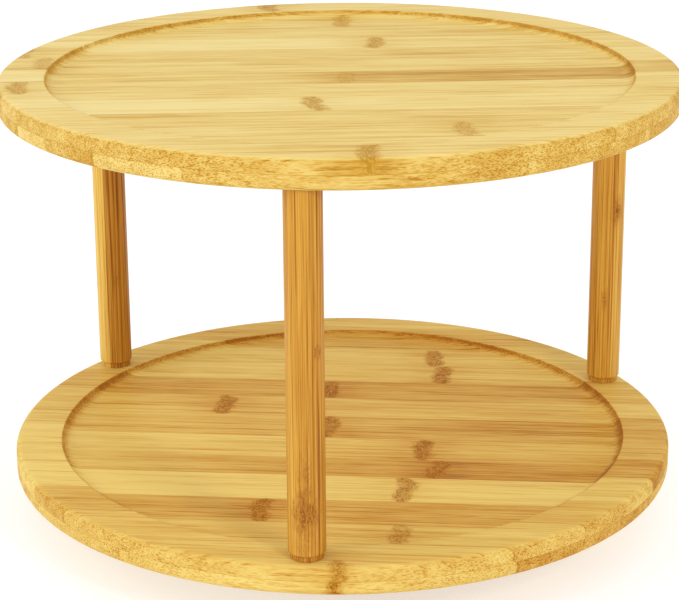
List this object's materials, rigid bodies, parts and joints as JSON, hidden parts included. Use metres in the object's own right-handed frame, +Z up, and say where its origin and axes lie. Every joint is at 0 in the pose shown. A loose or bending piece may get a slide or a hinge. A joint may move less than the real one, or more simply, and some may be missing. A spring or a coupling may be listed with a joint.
{
  "type": "lazy susan turntable",
  "caption": "Tiered round bamboo turntable: recessed trays joined by posts on their rims, turning on a flat ball bearing above a round base with rubber feet.",
  "frame": {"origin": "on the turning axis at the level that the rubber feet stand on", "axes": "+Z up along the turning axis; the wood grain of the trays runs along X"},
  "size_m": [0.254, 0.254, 0.1716],
  "materials": {
    "tray_bamboo": "laminated bamboo, satin clear lacquer",
    "base_bamboo": "laminated bamboo, thin satin lacquer",
    "post_bamboo": "turned bamboo, satin clear lacquer",
    "plate_steel": "zinc plated pressed sheet",
    "fastener_steel": "zinc plated",
    "ball_steel": "polished bearing steel",
    "insert_brass": "plain brass",
    "cage_nylon": "natural white nylon",
    "foot_rubber": "matte black rubber"
  },
  "bodies": {
    "base": {"base_disc": "base_bamboo", "lower_plate": "plate_steel", "centre_rivet": "plate_steel", "rubber_foot_1": "foot_rubber", "rubber_foot_2": "foot_rubber", "rubber_foot_3": "foot_rubber", "rubber_foot_4": "foot_rubber", "foot_screw_1": "fastener_steel", "foot_screw_2": "fastener_steel", "foot_screw_3": "fastener_steel", "foot_screw_4": "fastener_steel", "lower_plate_screw_1": "fastener_steel", "lower_plate_screw_2": "fastener_steel", "lower_plate_screw_3": "fastener_steel", "lower_plate_screw_4": "fastener_steel"},
    "turntable": {"lower_tray": "tray_bamboo", "upper_tray": "tray_bamboo", "post_1": "post_bamboo", "post_2": "post_bamboo", "post_3": "post_bamboo", "post_insert_1": "insert_brass", "post_insert_2": "insert_brass", "post_insert_3": "insert_brass", "tray_insert_1": "insert_brass", "tray_insert_2": "insert_brass", "tray_insert_3": "insert_brass", "post_stud_1": "fastener_steel", "post_stud_2": "fastener_steel", "post_stud_3": "fastener_steel", "post_bolt_1": "fastener_steel", "post_bolt_2": "fastener_steel", "post_bolt_3": "fastener_steel", "upper_plate": "plate_steel", "upper_plate_screw_1": "fastener_steel", "upper_plate_screw_2": "fastener_steel", "upper_plate_screw_3": "fastener_steel", "upper_plate_screw_4": "fastener_steel"},
    "cage": {"ball_cage": "cage_nylon"},
    "ball_01": {"ball_01": "ball_steel"},
    "ball_02": {"ball_02": "ball_steel"},
    "ball_03": {"ball_03": "ball_steel"},
    "ball_04": {"ball_04": "ball_steel"},
    "ball_05": {"ball_05": "ball_steel"},
    "ball_06": {"ball_06": "ball_steel"},
    "ball_07": {"ball_07": "ball_steel"},
    "ball_08": {"ball_08": "ball_steel"},
    "ball_09": {"ball_09": "ball_steel"},
    "ball_10": {"ball_10": "ball_steel"},
    "ball_11": {"ball_11": "ball_steel"},
    "ball_12": {"ball_12": "ball_steel"},
    "ball_13": {"ball_13": "ball_steel"},
    "ball_14": {"ball_14": "ball_steel"},
    "ball_15": {"ball_15": "ball_steel"},
    "ball_16": {"ball_16": "ball_steel"}
  },
  "joints": [
    {"name": "turntable_spin", "type": "hinge", "parent": "base", "child": "turntable", "pos_m": [0, 0, 0.01373], "axis": [0, 0, 1], "continuous": true},
    {"name": "cage_spin", "type": "hinge", "parent": "base", "child": "cage", "pos_m": [0, 0, 0.01373], "axis": [0, 0, 1], "continuous": true},
    {"name": "ball_01_roll", "type": "hinge", "parent": "cage", "child": "ball_01", "pos_m": [0.036, 0, 0.01373], "axis": [1, 0, 0], "continuous": true},
    {"name": "ball_02_roll", "type": "hinge", "parent": "cage", "child": "ball_02", "pos_m": [0.03326, 0.01378, 0.01373], "axis": [0.9239, 0.3827, 0], "continuous": true},
    {"name": "ball_03_roll", "type": "hinge", "parent": "cage", "child": "ball_03", "pos_m": [0.02546, 0.02546, 0.01373], "axis": [0.7071, 0.7071, 0], "continuous": true},
    {"name": "ball_04_roll", "type": "hinge", "parent": "cage", "child": "ball_04", "pos_m": [0.01378, 0.03326, 0.01373], "axis": [0.3827, 0.9239, 0], "continuous": true},
    {"name": "ball_05_roll", "type": "hinge", "parent": "cage", "child": "ball_05", "pos_m": [0, 0.036, 0.01373], "axis": [0, 1, 0], "continuous": true},
    {"name": "ball_06_roll", "type": "hinge", "parent": "cage", "child": "ball_06", "pos_m": [-0.01378, 0.03326, 0.01373], "axis": [-0.3827, 0.9239, 0], "continuous": true},
    {"name": "ball_07_roll", "type": "hinge", "parent": "cage", "child": "ball_07", "pos_m": [-0.02546, 0.02546, 0.01373], "axis": [-0.7071, 0.7071, 0], "continuous": true},
    {"name": "ball_08_roll", "type": "hinge", "parent": "cage", "child": "ball_08", "pos_m": [-0.03326, 0.01378, 0.01373], "axis": [-0.9239, 0.3827, 0], "continuous": true},
    {"name": "ball_09_roll", "type": "hinge", "parent": "cage", "child": "ball_09", "pos_m": [-0.036, 0, 0.01373], "axis": [-1, 0, 0], "continuous": true},
    {"name": "ball_10_roll", "type": "hinge", "parent": "cage", "child": "ball_10", "pos_m": [-0.03326, -0.01378, 0.01373], "axis": [-0.9239, -0.3827, 0], "continuous": true},
    {"name": "ball_11_roll", "type": "hinge", "parent": "cage", "child": "ball_11", "pos_m": [-0.02546, -0.02546, 0.01373], "axis": [-0.7071, -0.7071, 0], "continuous": true},
    {"name": "ball_12_roll", "type": "hinge", "parent": "cage", "child": "ball_12", "pos_m": [-0.01378, -0.03326, 0.01373], "axis": [-0.3827, -0.9239, 0], "continuous": true},
    {"name": "ball_13_roll", "type": "hinge", "parent": "cage", "child": "ball_13", "pos_m": [0, -0.036, 0.01373], "axis": [0, -1, 0], "continuous": true},
    {"name": "ball_14_roll", "type": "hinge", "parent": "cage", "child": "ball_14", "pos_m": [0.01378, -0.03326, 0.01373], "axis": [0.3827, -0.9239, 0], "continuous": true},
    {"name": "ball_15_roll", "type": "hinge", "parent": "cage", "child": "ball_15", "pos_m": [0.02546, -0.02546, 0.01373], "axis": [0.7071, -0.7071, 0], "continuous": true},
    {"name": "ball_16_roll", "type": "hinge", "parent": "cage", "child": "ball_16", "pos_m": [0.03326, -0.01378, 0.01373], "axis": [0.9239, -0.3827, 0], "continuous": true}
  ],
  "couplings": [
    {"joint": "cage_spin", "follows": "turntable_spin", "ratio": 0.5},
    {"joint": "ball_01_roll", "follows": "turntable_spin", "ratio": -7.563},
    {"joint": "ball_02_roll", "follows": "turntable_spin", "ratio": -7.563},
    {"joint": "ball_03_roll", "follows": "turntable_spin", "ratio": -7.563},
    {"joint": "ball_04_roll", "follows": "turntable_spin", "ratio": -7.563},
    {"joint": "ball_05_roll", "follows": "turntable_spin", "ratio": -7.563},
    {"joint": "ball_06_roll", "follows": "turntable_spin", "ratio": -7.563},
    {"joint": "ball_07_roll", "follows": "turntable_spin", "ratio": -7.563},
    {"joint": "ball_08_roll", "follows": "turntable_spin", "ratio": -7.563},
    {"joint": "ball_09_roll", "follows": "turntable_spin", "ratio": -7.563},
    {"joint": "ball_10_roll", "follows": "turntable_spin", "ratio": -7.563},
    {"joint": "ball_11_roll", "follows": "turntable_spin", "ratio": -7.563},
    {"joint": "ball_12_roll", "follows": "turntable_spin", "ratio": -7.563},
    {"joint": "ball_13_roll", "follows": "turntable_spin", "ratio": -7.563},
    {"joint": "ball_14_roll", "follows": "turntable_spin", "ratio": -7.563},
    {"joint": "ball_15_roll", "follows": "turntable_spin", "ratio": -7.563},
    {"joint": "ball_16_roll", "follows": "turntable_spin", "ratio": -7.563}
  ]
}
